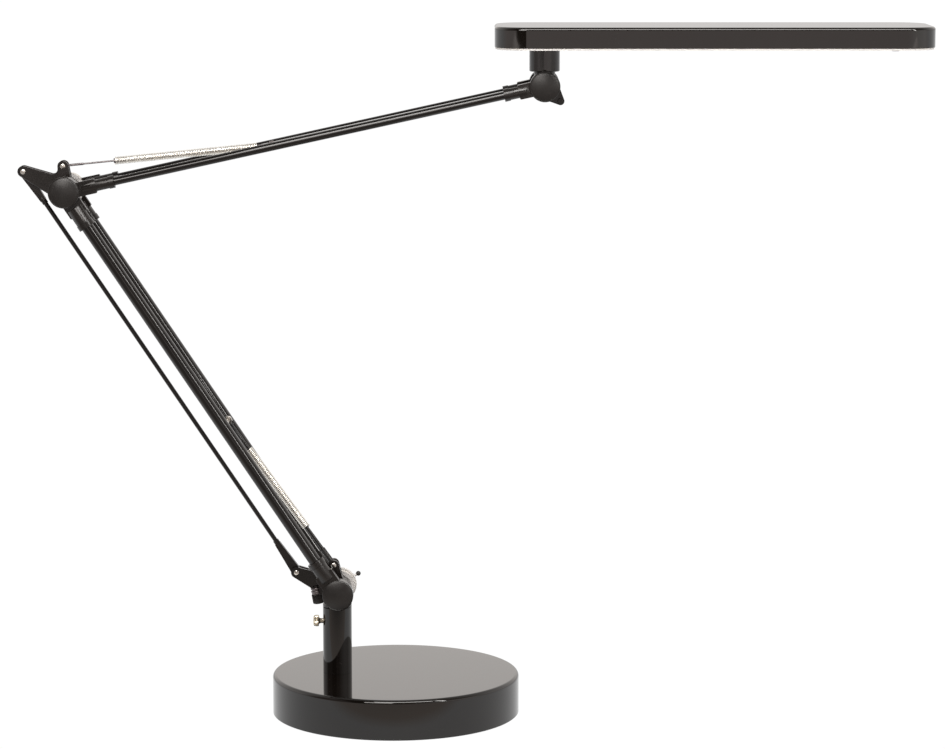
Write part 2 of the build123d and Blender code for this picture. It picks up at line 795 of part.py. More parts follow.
with BuildPart() as swivel_collar:
    with BuildSketch(Plane.XY.offset(collar_foot)):
        with Locations((swivel_x, 0)):
            Circle(collar_radius)
    extrude(amount=plate_bottom - seat_gap - collar_foot)
    chamfer(swivel_collar.edges().group_by(Axis.Z)[0], 0.5)
    with BuildSketch(Plane.XY.offset(collar_foot)):
        with Locations((swivel_x, 0)):
            Circle(yoke_spigot_radius + running)
    extrude(amount=collar_height + head_side, mode=Mode.SUBTRACT)
finish(swivel_collar, "swivel_collar")


def head_outline(inset):
    """The head's plan, drawn in from its edge."""
    with BuildSketch() as plan:
        with Locations((head_centre_x, 0)):
            RectangleRounded(head_length - 2 * inset, head_width - 2 * inset, head_corner - inset)
    return plan.sketch


with BuildPart() as head_shell:
    with BuildSketch(Plane.XY.offset(head_bottom)):
        add(head_outline(0))
    extrude(amount=head_side)
    fillet(head_shell.edges().group_by(Axis.Z)[-1], head_edge_round)
    with BuildSketch(Plane.XY.offset(head_bottom)):
        add(head_outline(head_wall))
    extrude(amount=head_side - head_wall, mode=Mode.SUBTRACT)
finish(head_shell, "head_shell")

button_x = swivel_x - head_overhang + head_length - button_from_end
flange_bottom = diffuser_bottom + diffuser_thickness + face_gap
with BuildPart() as diffuser:
    with BuildSketch(Plane.XY.offset(diffuser_bottom)):
        add(head_outline(diffuser_margin))
    extrude(amount=diffuser_lip - seat_gap)
    with BuildSketch(Plane.XY.offset(diffuser_bottom)):
        add(head_outline(head_wall + seat_gap))
    extrude(amount=diffuser_thickness)
    with BuildSketch(Plane.XY.offset(diffuser_bottom)):
        with Locations((swivel_x, 0)):
            Circle(collar_radius + seat_gap)
        with Locations((button_x, button_y)):
            Circle(button_radius + face_gap)
    extrude(amount=diffuser_thickness, mode=Mode.SUBTRACT)
finish(diffuser, "diffuser")

with BuildPart() as mount_plate:
    with BuildSketch(Plane.XY.offset(plate_bottom)):
        with Locations((swivel_x, 0)):
            Rectangle(bracket_plate[0], bracket_plate[1])
            Circle(yoke_spigot_radius + face_gap, mode=Mode.SUBTRACT)
    extrude(amount=bracket_plate[2])
finish(mount_plate, "mount_plate")

board_length = head_length - head_overhang - board_from_swivel - board_end_gap
board_x = swivel_x + board_from_swivel + board_length / 2
board_top = head_bottom + head_side - head_wall - seat_gap
with BuildPart() as led_board:
    with BuildSketch(Plane.XY.offset(board_top - board_thickness)):
        with Locations((board_x, 0)):
            Rectangle(board_length, board_width)
    extrude(amount=board_thickness)
finish(led_board, "led_board")

with BuildPart() as leds:
    with BuildSketch(Plane.XY.offset(board_top - board_thickness - seat_gap)):
        with Locations((board_x, 0)):
            with GridLocations(led_pitch[0], led_pitch[1], led_column_count, led_row_count):
                Rectangle(led_size, led_size)
    extrude(amount=-led_height)
finish(leds, "leds")

with BuildPart() as driver:
    with BuildSketch(Plane.XY.offset(board_top)):
        with Locations((swivel_x, 0)):
            Rectangle(driver_size[0], driver_size[1])
    extrude(amount=-driver_size[2])
    chamfer(driver.edges().group_by(Axis.Z)[0], 0.8)
finish(driver, "driver")

with BuildPart() as swivel_nut:
    with BuildSketch(Plane.XY.offset(nut_seat)):
        with Locations((swivel_x, 0)):
            RegularPolygon(nut_radius, 6)
            Circle(yoke_spigot_radius - nut_grip, mode=Mode.SUBTRACT)
    extrude(amount=nut_thickness)
finish(swivel_nut, "swivel_nut")

with BuildPart() as touch_button:
    with BuildSketch(Plane.XY.offset(head_bottom - diffuser_lip - button_proud)):
        with Locations((button_x, button_y)):
            Circle(button_radius)
    extrude(amount=button_proud + flange_bottom - diffuser_bottom)
    fillet(touch_button.edges().group_by(Axis.Z)[0], 0.6)
    with BuildSketch(Plane.XY.offset(flange_bottom)):
        with Locations((button_x, button_y)):
            Circle(button_radius + button_flange)
    extrude(amount=button_flange)
finish(touch_button, "touch_button")

switch_bottom = flange_bottom + button_flange + button_travel + face_gap
with BuildPart() as button_switch:
    with BuildSketch(Plane.XY.offset(switch_bottom)):
        with Locations((button_x, button_y)):
            Rectangle(switch_side, switch_side)
    extrude(amount=board_top - board_thickness - seat_gap - switch_bottom)
finish(button_switch, "button_switch")

for piece in pieces:
    export_step(piece, f"parts/{piece.label}.step")
print(len(pieces), "pieces; elbow", elbow_pivot, "head pivot", head_pivot)
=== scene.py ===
import bpy
import bmesh
import json
from math import radians, pi, cos, sin, asin, tau, atan2, sqrt
from mathutils import Matrix, Vector

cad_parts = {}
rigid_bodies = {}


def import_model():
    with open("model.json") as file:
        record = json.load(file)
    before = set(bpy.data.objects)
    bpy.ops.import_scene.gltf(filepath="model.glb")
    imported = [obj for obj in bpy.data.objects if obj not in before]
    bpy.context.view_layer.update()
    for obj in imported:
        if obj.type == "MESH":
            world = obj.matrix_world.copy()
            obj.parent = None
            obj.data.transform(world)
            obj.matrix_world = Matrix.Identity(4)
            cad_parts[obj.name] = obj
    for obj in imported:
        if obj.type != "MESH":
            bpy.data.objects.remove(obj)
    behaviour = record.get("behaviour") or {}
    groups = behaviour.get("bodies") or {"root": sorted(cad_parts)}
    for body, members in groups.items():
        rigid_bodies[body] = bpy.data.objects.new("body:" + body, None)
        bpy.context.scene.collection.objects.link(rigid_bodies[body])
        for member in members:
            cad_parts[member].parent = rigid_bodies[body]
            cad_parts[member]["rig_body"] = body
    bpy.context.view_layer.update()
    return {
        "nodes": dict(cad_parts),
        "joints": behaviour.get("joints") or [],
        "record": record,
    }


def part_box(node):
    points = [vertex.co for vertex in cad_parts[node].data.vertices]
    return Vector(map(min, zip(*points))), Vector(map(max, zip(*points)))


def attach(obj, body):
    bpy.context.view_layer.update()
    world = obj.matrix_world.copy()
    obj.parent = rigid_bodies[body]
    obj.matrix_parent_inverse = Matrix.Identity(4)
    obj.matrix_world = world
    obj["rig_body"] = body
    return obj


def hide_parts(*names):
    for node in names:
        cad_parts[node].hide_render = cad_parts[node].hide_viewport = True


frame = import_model()
nodes = frame["nodes"]
scene = bpy.context.scene
print("frame loaded:", len(nodes), "nodes")

towardsViewer = Vector((0, -1, 0))
acrossLamp = Vector((0, 1, 0))
sideways = Vector((1, 0, 0))


# Shader maths: a wrapped socket, and one method that adds any node
class Wire:
    def __init__(self, graph, socket):
        self.graph = graph
        self.socket = socket

    def math(self, operation, other, swapped=False):
        pair = [other, self] if swapped else [self, other]
        return self.graph.add("ShaderNodeMath", {"operation": operation}, dict(enumerate(pair)))

    def __add__(self, other):
        return self.math("ADD", other)

    def __radd__(self, other):
        return self.math("ADD", other, True)

    def __sub__(self, other):
        return self.math("SUBTRACT", other)

    def __rsub__(self, other):
        return self.math("SUBTRACT", other, True)

    def __mul__(self, other):
        return self.math("MULTIPLY", other)

    def __rmul__(self, other):
        return self.math("MULTIPLY", other, True)

    def __truediv__(self, other):
        return self.math("DIVIDE", other)

    def __rtruediv__(self, other):
        return self.math("DIVIDE", other, True)

    def __gt__(self, other):
        return self.math("GREATER_THAN", other)


class Graph:
    def __init__(self, owner, shader="Principled BSDF"):
        owner.use_nodes = True
        self.tree = owner.node_tree
        self.shader = self.tree.nodes[shader]

    def add(self, kind, settings, inputs, output=0):
        node = self.tree.nodes.new(kind)
        for name, value in settings.items():
            if name == "stops":
                ramp = node.color_ramp
                while len(ramp.elements) < len(value):
                    ramp.elements.new(0.5)
                for element, (place, tone) in zip(ramp.elements, value):
                    element.position = place
                    element.color = (*tone, 1)
            else:
                setattr(node, name, value)
        for name, value in inputs.items():
            self.put(node, name, value)
        return Wire(self, node.outputs[output])

    def put(self, node, name, value):
        if isinstance(value, Wire):
            self.tree.links.new(value.socket, node.inputs[name])
        else:
            node.inputs[name].default_value = value

    def feed(self, name, value):
        self.put(self.shader, name, value)

    def place(self, scale=(1, 1, 1), turn=(0, 0, 0), centre=(0, 0, 0)):
        here = self.add("ShaderNodeTexCoord", {}, {}, "Object")
        return self.add("ShaderNodeMapping", {"vector_type": "TEXTURE"}, {
            "Vector": here, "Location": centre, "Rotation": turn, "Scale": scale})

    def noise(self, scale, detail=3.0, vector=None):
        return self.add("ShaderNodeTexNoise", {}, {
            "Vector": vector or self.place(), "Scale": scale, "Detail": detail, "Roughness": 0.55})

    def tones(self, factor, stops):
        return self.add("ShaderNodeValToRGB", {"stops": stops}, {"Fac": factor})

    def steps(self, value, low, high, fromLow=0.0, fromHigh=1.0):
        return self.add("ShaderNodeMapRange", {}, {
            "Value": value, "From Min": fromLow, "From Max": fromHigh, "To Min": low, "To Max": high})

    def blend(self, factor, first, second):
        firstColour, secondColour = 6, 7
        return self.add("ShaderNodeMix", {"data_type": "RGBA"}, {
            "Factor": factor, firstColour: first, secondColour: second}, 2)

    def bump(self, height, distance, strength):
        return self.add("ShaderNodeBump", {}, {"Height": height, "Distance": distance, "Strength": strength})


def newMaterial(name):
    material = bpy.data.materials.new(name)
    return material, Graph(material)


lacquer = {
    "tone": (0.0032, 0.0022, 0.0017), "toneWorn": (0.0058, 0.0043, 0.0034), "rough": 0.030, "peel": 0.0000018,
    "dustTone": (0.20, 0.19, 0.17, 1), "dustScale": 420.0, "dustSize": 0.10, "dustPatch": 0.60,
}


def makeLacquer(name, look):  # high-gloss black with a faint orange peel and settled dust
    material, g = newMaterial(name)
    cloud = g.noise(9.0, 4.0)
    cells = g.add("ShaderNodeTexVoronoi", {"feature": "F1"}, {
        "Vector": g.place(), "Scale": look["dustScale"]}, "Distance")
    spots = g.steps(cells, 1.0, 0.0, look["dustSize"] * 0.6, look["dustSize"])
    dust = spots * (g.noise(60.0, 2.0) > look["dustPatch"])
    black = g.tones(cloud, [(0.35, look["tone"]), (0.75, look["toneWorn"])])
    g.feed("Base Color", g.blend(dust * 0.12, black, look["dustTone"]))
    g.feed("Roughness", g.steps(cloud, look["rough"], look["rough"] * 1.8, 0.3, 0.75) + dust * 0.15)
    g.feed("IOR", 1.50)
    g.feed("Normal", g.bump(g.noise(240.0, 2.0), look["peel"], 0.6))
    return material


tubePaint = {
    "tone": (0.0030, 0.0023, 0.0019), "toneLight": (0.0056, 0.0044, 0.0037), "rough": 0.05, "peel": 0.0000008,
    "scuffTone": (0.05, 0.045, 0.04, 1), "scuffStretch": (1, 1, 0.12), "scuffTilt": radians(33.5), "scuffLevel": 0.69,
}


def makePaint(name, look):  # glossy tube paint with a fine even peel and a few scuffs
    material, g = newMaterial(name)
    cloud = g.noise(28.0, 3.0)
    scuff = g.noise(140.0, 5.0, g.place(look["scuffStretch"], (0, look["scuffTilt"], 0))) > look["scuffLevel"]
    black = g.tones(cloud, [(0.3, look["tone"]), (0.8, look["toneLight"])])
    g.feed("Base Color", g.blend(scuff * 0.30, black, look["scuffTone"]))
    g.feed("Roughness", g.steps(cloud, look["rough"], look["rough"] * 1.7, 0.3, 0.75) + scuff * 0.12)
    g.feed("IOR", 1.50)
    g.feed("Normal", g.bump(g.noise(260.0, 2.0), look["peel"], 0.5))
    return material


moulding = {
    "tone": (0.0052, 0.0040, 0.0034), "toneLight": (0.0105, 0.0084, 0.0072), "rough": 0.19, "grain": 0.0000018,
    "rubTone": (0.026, 0.022, 0.020, 1),
}
capMoulding = {
    **moulding,
    "tone": (0.0062, 0.0050, 0.0044), "toneLight": (0.0110, 0.0092, 0.0082), "rough": 0.30, "grain": 0.000003,
}


def makeMoulding(name, look):  # satin nylon with a fine grain and paler rubbed patches
    material, g = newMaterial(name)
    cloud = g.noise(55.0, 4.0)
    grain = g.noise(1600.0, 3.0)
    rub = g.steps(g.noise(160.0, 5.0), 0.0, 1.0, 0.60, 0.72)
    black = g.tones(cloud, [(0.3, look["tone"]), (0.75, look["toneLight"])])
    g.feed("Base Color", g.blend(rub * 0.30, black, look["rubTone"]))
    g.feed("Roughness", g.steps(cloud, look["rough"], look["rough"] * 1.35, 0.3, 0.75) + grain * 0.06)
    g.feed("IOR", 1.48)
    g.feed("Normal", g.bump(grain, look["grain"], 0.45))
    return material


metals = {
    "zinc": {"tone": (0.66, 0.64, 0.60), "toneDark": (0.40, 0.38, 0.35), "rough": 0.24},
    "nickel": {"tone": (0.74, 0.71, 0.66), "toneDark": (0.52, 0.49, 0.44), "rough": 0.20},
    "darkNickel": {"tone": (0.22, 0.20, 0.20), "toneDark": (0.13, 0.115, 0.12), "rough": 0.34},
    "spring": {"tone": (0.94, 0.92, 0.87), "toneDark": (0.78, 0.75, 0.69), "rough": 0.26},
    "thumbscrew": {"tone": (0.72, 0.66, 0.54), "toneDark": (0.46, 0.40, 0.30), "rough": 0.26},
}


def makeMetal(name, look, stretch=(1, 1, 8), lineScale=700.0):  # plated metal with drawn lines
    material, g = newMaterial(name)
    cloud = g.noise(130.0, 5.0)
    lines = g.noise(lineScale, 4.0, g.place(stretch))
    g.feed("Base Color", g.tones(cloud, [(0.25, look["toneDark"]), (0.62, look["tone"])]))
    g.feed("Metallic", 1.0)
    g.feed("Roughness", g.steps(lines, look["rough"] * 0.75, look["rough"] * 1.6, 0.3, 0.7))
    g.feed("Normal", g.bump(lines, 0.000012, 0.4))
    return material


turnedFace = {
    "tone": (0.64, 0.63, 0.62), "toneDark": (0.55, 0.54, 0.53), "metallic": 0.3, "rough": (0.34, 0.46),
    "ringScale": 150.0, "ringDepth": 0.0000015,
}


def makeTurned(name, look, centre):  # pale plated face with the rings a lathe leaves
    material, g = newMaterial(name)
    rings = g.add("ShaderNodeTexWave", {"wave_type": "RINGS", "rings_direction": "Y"}, {
        "Vector": g.place(centre=centre), "Scale": look["ringScale"], "Distortion": 0.4, "Detail": 1.0}, "Fac")
    g.feed("Base Color", g.tones(g.noise(120.0, 4.0), [(0.3, look["toneDark"]), (0.7, look["tone"])]))
    g.feed("Metallic", look["metallic"])
    g.feed("Roughness", g.steps(rings, *look["rough"]))
    g.feed("Normal", g.bump(rings, look["ringDepth"], 0.3))
    return material


rubber = {
    "tone": (0.036, 0.035, 0.034), "toneDark": (0.020, 0.020, 0.020), "rough": (0.72, 0.92), "grain": 0.00006,
}


def makeRubber(name, look):
    material, g = newMaterial(name)
    grain = g.noise(1500.0, 3.0)
    g.feed("Base Color", g.tones(g.noise(40.0, 3.0), [(0.3, look["toneDark"]), (0.8, look["tone"])]))
    g.feed("Roughness", g.steps(grain, *look["rough"]))
    g.feed("Normal", g.bump(grain, look["grain"], 0.5))
    return material


iron = {
    "tone": (0.120, 0.112, 0.105), "toneDark": (0.045, 0.043, 0.042), "metallic": 0.75, "rough": (0.55, 0.8),
    "grain": 0.0002,
}


def makeIron(name, look):
    material, g = newMaterial(name)
    grit = g.noise(620.0, 6.0)
    g.feed("Base Color", g.tones(grit, [(0.3, look["toneDark"]), (0.75, look["tone"])]))
    g.feed("Metallic", look["metallic"])
    g.feed("Roughness", g.steps(grit, *look["rough"]))
    g.feed("Normal", g.bump(grit, look["grain"], 0.7))
    return material


opal = {
    "tone": (0.72, 0.71, 0.69), "toneDark": (0.66, 0.65, 0.63), "rough": (0.28, 0.42),
    "prismScale": 650.0, "prismDepth": 0.0001, "milk": 0.15, "milkReach": (0.004, 0.004, 0.0035),
}


def makeOpal(name, look):  # opal acrylic sheet with a fine prism texture
    material, g = newMaterial(name)
    prisms = g.add("ShaderNodeTexVoronoi", {"feature": "SMOOTH_F1"}, {
        "Vector": g.place(), "Scale": look["prismScale"], "Randomness": 0.0}, "Distance")
    g.feed("Base Color", g.tones(g.noise(12.0, 3.0), [(0.3, look["toneDark"]), (0.7, look["tone"])]))
    g.feed("Roughness", g.steps(prisms, *look["rough"]))
    g.feed("Subsurface Weight", look["milk"])
    g.feed("Subsurface Radius", look["milkReach"])
    g.feed("Subsurface Scale", 1.0)
    g.feed("IOR", 1.49)
    g.feed("Normal", g.bump(prisms, look["prismDepth"], 0.35))
    return material


def makePlain(name, dark, light, rough, scale=80.0):
    material, g = newMaterial(name)
    cloud = g.noise(scale, 4.0)
    g.feed("Base Color", g.tones(cloud, [(0.3, dark), (0.75, light)]))
    g.feed("Roughness", g.steps(cloud, rough, rough * 1.3, 0.3, 0.75))
    g.feed("Normal", g.bump(g.noise(scale * 14, 3.0), 0.00002, 0.4))
    return material


finishes = {
    "lacquer": makeLacquer("baseLacquer", lacquer),
    "headLacquer": makeLacquer("headLacquer", {**lacquer, "rough": 0.028}),
    "tube": makePaint("tubePaint", tubePaint),
    "post": makePaint("postPaint", {**tubePaint, "rough": 0.035, "peel": 0.0000012}),
    "moulding": makeMoulding("nylonMoulding", moulding),
    "collar": makeMoulding("collarMoulding", {**moulding, "rough": 0.075, "grain": 0.000001}),
    "cap": makeMoulding("capMoulding", capMoulding),
    "zinc": makeMetal("zincSteel", metals["zinc"]),
    "nickel": makeMetal("nickelPlate", metals["nickel"]),
    "darkNickel": makeMetal("darkNickel", metals["darkNickel"]),
    "spring": makeMetal("springWire", metals["spring"], (1, 1, 1), 900.0),
    "thumbscrew": makeMetal("nickelBrass", metals["thumbscrew"]),
    "rod": makePaint("rodPaint", {**tubePaint, "rough": 0.24}),
    "rubber": makeRubber("footRubber", rubber),
    "iron": makeIron("castIron", iron),
    "opal": makeOpal("opalSheet", opal),
    "board": makePlain("boardWhite", (0.66, 0.66, 0.63), (0.78, 0.78, 0.75), 0.35),
    "phosphor": makePlain("ledPhosphor", (0.78, 0.62, 0.14), (0.90, 0.78, 0.30), 0.30, 900.0),
    "driver": makePlain("driverCase", (0.020, 0.020, 0.021), (0.036, 0.035, 0.035), 0.45),
    "button": makePlain("buttonGrey", (0.20, 0.20, 0.205), (0.27, 0.27, 0.275), 0.40, 120.0),
}


# Meshes
def keepMesh(name, bm, finish, body, replaced=(), smoothAngle=30):
    mesh = bpy.data.meshes.new(name)
    bmesh.ops.recalc_face_normals(bm, faces=bm.faces)
    bm.to_mesh(mesh)
    bm.free()
    mesh.materials.append(finishes[finish])
    mesh.shade_smooth()
    mesh.set_sharp_from_angle(angle=radians(smoothAngle))
    piece = bpy.data.objects.new(name, mesh)
    scene.collection.objects.link(piece)
    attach(piece, body)
    if replaced:
        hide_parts(*replaced)
    return piece


def softenEdges(piece, width):
    bevel = piece.modifiers.new("softEdge", "BEVEL")
    bevel.width = width
    bevel.segments = 2
    bevel.limit_method = "ANGLE"
    bevel.angle_limit = radians(32)
    bevel.harden_normals = True


def evenNormals(piece):  # keeps large faces flat beside a fine fillet
    weighted = piece.modifiers.new("evenNormals", "WEIGHTED_NORMAL")
    weighted.keep_sharp = True
    weighted.weight = 80


def lathe(profile, steps, turn=None, angle=tau):  # turns (radius, height) points about Z
    bm = bmesh.new()
    ring = [bm.verts.new((r, 0, z)) for r, z in profile]
    for a, b in zip(ring, ring[1:]):
        bm.edges.new((a, b))
    bmesh.ops.spin(
        bm, geom=bm.verts[:] + bm.edges[:], cent=(0, 0, 0), axis=(0, 0, 1), angle=angle, steps=steps,
        use_merge=angle == tau, use_duplicate=False)
    bmesh.ops.remove_doubles(bm, verts=bm.verts, dist=1e-7)
    if turn is not None:
        bmesh.ops.transform(bm, matrix=turn, verts=bm.verts)
    return bm


def join(*parts):
    whole = bmesh.new()
    for part in parts:
        temporary = bpy.data.meshes.new("part")
        part.to_mesh(temporary)
        whole.from_mesh(temporary)
        bpy.data.meshes.remove(temporary)
        part.free()
    return whole


def along(origin, way, across=acrossLamp):  # +Z of the shape runs along way, +Y along across
    z = way.normalized()
    y = across.normalized()
    x = y.cross(z).normalized()
    return Matrix.Translation(origin) @ Matrix((x, y, z)).transposed().to_4x4()


def turnAbout(centre, start=0):  # the shape's +Z runs along +Y through centre, and its start is turned round that
    return Matrix.Translation(centre) @ Matrix.Rotation(-start, 4, "Y") @ Matrix.Rotation(radians(-90), 4, "X")


# Pivots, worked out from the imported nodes
def middle(node):
    low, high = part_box(node)
    return (low + high) / 2


def halfWidth(node):
    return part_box(node)[1].x - middle(node).x


basePivot = middle("base_axle")
elbowPivot = middle("elbow_axle")
headPivot = middle("head_axle")
springBase = middle("base_spring_pin")
springElbow = middle("elbow_spring_pin")
lowerCross = middle("lower_cross_pin")
upperCross = middle("upper_cross_pin")
lowerWay = (elbowPivot - basePivot).normalized()
upperWay = (headPivot - elbowPivot).normalized()
finishes["turned"] = makeTurned("turnedNickel", turnedFace, basePivot)
print("finishes made:", len(finishes))

# CAD nodes that keep their shape, as copies with merged points and smooth shading, and a soft edge where one is given
dressed = {
    "moulding": ("moulded_black", 0.00035, [
        "base_bracket", "elbow_bracket", "head_yoke",
        "lower_arm_foot_front", "lower_arm_foot_rear", "lower_arm_top_front", "lower_arm_top_rear",
        "upper_arm_heel_front", "upper_arm_heel_rear", "upper_arm_tip_front", "upper_arm_tip_rear",
        "strut_end_base", "strut_end_elbow"]),
    "tube": ("tube_paint", 0.0, [
        "lower_tube_front", "lower_tube_rear", "upper_tube_front", "upper_tube_rear", "strut_rod"]),
    "post": ("post_paint", 0.0, ["post"]),
    "zinc": ("steel_bright", 0.00012, [
        "post_bolt", "base_axle", "elbow_axle", "head_axle", "swivel_nut", "mount_plate",
        "lower_cross_pin", "upper_cross_pin"]),
    "darkNickel": ("wire_steel", 0.0, ["upper_draw_rod", "upper_spring_hook"]),
    "rod": ("rod_black", 0.0001, ["lower_draw_rod"]),
    "rubber": ("foot_rubber", 0.0003, ["foot_pad"]),
    "iron": ("cast_iron", 0.0006, ["base_weight"]),
    "board": ("board_aluminium", 0.0002, ["led_board"]),
    "phosphor": ("led_yellow", 0.0001, ["leds"]),
    "driver": ("driver_black", 0.0003, ["driver"]),
    "collar": ("moulded_black", 0.0002, ["button_switch"]),
}


def dress(node, finish, width):
    source = nodes[node]
    bm = bmesh.new()
    bm.from_mesh(source.data)
    bmesh.ops.remove_doubles(bm, verts=bm.verts, dist=1e-6)
    bmesh.ops.dissolve_limit(bm, angle_limit=radians(0.6), verts=bm.verts, edges=bm.edges)
    piece = keepMesh(node + "Skin", bm, finish, source["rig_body"], (node,), 34)
    if width:
        softenEdges(piece, width)
    return piece


for finish, (slotName, width, members) in dressed.items():
    for node in members:
        dress(node, finish, width)
dress("yoke_pin", "rod", 0.0001)

# The lower spring's hook is black, and its eye is worn bright by the cross pin
hookSizes = {"wornReach": 0.0041}
hook = dress("lower_spring_hook", "rod", 0.0)
hook.data.materials.append(finishes["nickel"])
for face in hook.data.polygons:
    if (face.center - lowerCross).length < hookSizes["wornReach"]:
        face.material_index = 1
print("CAD shapes dressed")

# Base cover: one turned shell with a soft shoulder
coverSizes = {
    "radius": 0.100, "top": 0.033, "foot": 0.0008, "wall": 0.0015, "lip": 0.0004,
    "shoulder": 0.0030, "shoulderSteps": 10, "topRings": 9, "steps": 224,
}
k = coverSizes
inside, ceiling, flat = k["radius"] - k["wall"], k["top"] - k["wall"], k["radius"] - k["shoulder"]
profile = [
    (0.0, ceiling), (inside, ceiling), (inside, k["foot"]),
    (k["radius"] - k["lip"], k["foot"]), (k["radius"], k["foot"] + k["lip"])]
for i in range(k["shoulderSteps"] + 1):
    a = radians(90) * i / k["shoulderSteps"]
    profile.append((k["radius"] - k["shoulder"] * (1 - cos(a)), k["top"] - k["shoulder"] * (1 - sin(a))))
profile += [(flat * (1 - i / k["topRings"]), k["top"]) for i in range(1, k["topRings"])]
profile.append((0.0, k["top"]))
cover = keepMesh("baseCover", lathe(profile, k["steps"]), "lacquer", "base", ("base_cover",), 40)
evenNormals(cover)
print("base cover made")

# Round caps over the pivots: a dome inside a fine groove
capSizes = {
    "thickness": 0.0029, "dome": 0.0017, "domeRings": 8, "rim": 0.0007, "groove": 0.00015, "grooveWidth": 0.0005,
    "seatEdge": 0.0003, "steps": 72,
    "pieces": [
        ("baseCapFront", "base_cap_front", 1, "lower_arm"),
        ("elbowCapFront", "elbow_cap_front", 1, "upper_arm"),
        ("elbowCapRear", "elbow_cap_rear", -1, "upper_arm"),
        ("headCapFront", "head_cap_front", 1, "upper_arm"),
        ("headCapRear", "head_cap_rear", -1, "upper_arm")],
}


def roundCap(name, node, side, body):
    k = capSizes
    low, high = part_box(node)
    radius = (high.x - low.x) / 2
    centre = middle(node)
    centre.y = high.y if side > 0 else low.y
    edge, rim = k["thickness"] - k["dome"], radius - k["rim"]
    domeRadius = rim - k["grooveWidth"]
    points = [
        (0, 0), (radius - k["seatEdge"], 0), (radius, k["seatEdge"]), (radius, edge - 0.0006),
        (radius - 0.0005, edge - 0.0001), (rim, edge), (rim - 0.0002, edge - k["groove"]), (domeRadius, edge)]
    for i in range(1, k["domeRings"] + 1):
        t = i / k["domeRings"]
        points.append((domeRadius * (1 - t), edge + k["dome"] * (1 - (1 - t) ** 2)))
    turn = along(centre, towardsViewer * side, sideways)
    keepMesh(name, lathe(points, k["steps"], turn), "cap", body, (node,), 24)


for entry in capSizes["pieces"]:
    roundCap(*entry)
print("caps made")

# Nickel round the rear eyes: a thin washer in front, and bands that are open where the arm leaves the eye
eyeSizes = {
    "baseEye": halfWidth("base_cap_front"), "elbowEye": halfWidth("elbow_cap_front"),
    "lowerNeck": 0.0077, "upperNeck": 0.0058, "neckGap": 0.0006,
    "innerFace": 0.0143, "outerFace": 0.0225, "splitNear": 0.0183, "splitFar": 0.0186,
    "thick": 0.00025, "bite": 0.0006, "inset": 0.0001, "chamfer": 0.0001,
    "washerNear": 0.01413, "washerFar": 0.01427, "washerEdge": 0.00004, "washerOver": 0.0001, "washerBore": 0.45,
    "steps": 72,
}


def eyeWasher(name, centre, radius):
    k = eyeSizes
    near, far, bore = k["washerNear"], k["washerFar"], radius * k["washerBore"]
    loop = [
        (bore, near), (radius - k["washerEdge"], near), (radius, near + k["washerEdge"]), (radius, far),
        (bore, far), (bore, near)]
    washer = lathe(loop, k["steps"], turnAbout(centre))
    keepMesh(name, washer, "turned", "lower_arm")


def eyeBand(name, centre, way, radius, near, far, neck, body):
    k = eyeSizes
    opening = 2 * asin((neck + k["neckGap"]) / radius)
    r0, r1, y0, y1 = radius - k["bite"], radius + k["thick"], near + k["inset"], far - k["inset"]
    cut = k["chamfer"]
    loop = [(r0, y0), (r1 - cut, y0), (r1, y0 + cut), (r1, y1 - cut), (r1 - cut, y1), (r0, y1), (r0, y0)]
    turn = turnAbout(centre, atan2(way.z, way.x) + opening / 2)
    band = lathe(loop, k["steps"], turn, -(tau - opening))
    bmesh.ops.holes_fill(band, edges=[e for e in band.edges if e.is_boundary], sides=8)
    keepMesh(name, band, "nickel", body)


k = eyeSizes
eyeWasher("baseEyeWasher", basePivot, k["baseEye"] + k["washerOver"])
eyeWasher("elbowEyeWasher", elbowPivot, k["elbowEye"] + k["washerOver"])
inner, outer, near, far = k["innerFace"], k["outerFace"], k["splitNear"], k["splitFar"]
eyeBand("baseEyeBand", basePivot, lowerWay, k["baseEye"], inner, outer, k["lowerNeck"], "lower_arm")
eyeBand("elbowEyeBandInner", elbowPivot, -lowerWay, k["elbowEye"], inner, near, k["lowerNeck"], "lower_arm")
eyeBand("elbowEyeBandOuter", elbowPivot, upperWay, k["elbowEye"], far, outer, k["upperNeck"], "upper_arm")
print("eye bands made")

# Rivets: a shank and two domed heads in place of each plain pin
rivetSizes = {
    "shank": 0.00148, "head": 0.0021, "rise": 0.0008, "edge": 0.0002, "reach": 0.00505, "domeSteps": 5, "steps": 28,
    "pieces": [
        ("baseStrutRivet", "base_strut_pin", "base_bracket"), ("baseSpringRivet", "base_spring_pin", "base_bracket"),
        ("elbowStrutRivet", "elbow_strut_pin", "elbow"), ("elbowSpringRivet", "elbow_spring_pin", "elbow")],
}


def rivet(name, node, body):
    k = rivetSizes
    foot = k["reach"] + k["edge"]
    half = [(k["shank"], 0), (k["shank"], k["reach"]), (k["head"], k["reach"]), (k["head"], foot)]
    for i in range(1, k["domeSteps"]):
        a = radians(90) * i / k["domeSteps"]
        half.append((k["head"] * cos(a), foot + (k["rise"] - k["edge"]) * sin(a)))
    half.append((0, k["reach"] + k["rise"]))
    points = [(r, -z) for r, z in reversed(half)] + half[1:]
    turn = along(middle(node), towardsViewer, sideways)
    keepMesh(name, lathe(points, k["steps"], turn), "nickel", body, (node,), 40)


for entry in rivetSizes["pieces"]:
    rivet(*entry)
print("rivets made")

# Springs: round wire swept as one helix, with more turns than the CAD's
springSizes = {
    "outer": 0.0032, "wire": 0.00054, "pitch": 0.00128, "stepsPerTurn": 20, "sides": 8,
    "lowerFrom": 0.038, "lowerHook": 0.029, "upperFrom": 0.0415, "upperHook": 0.012,
}


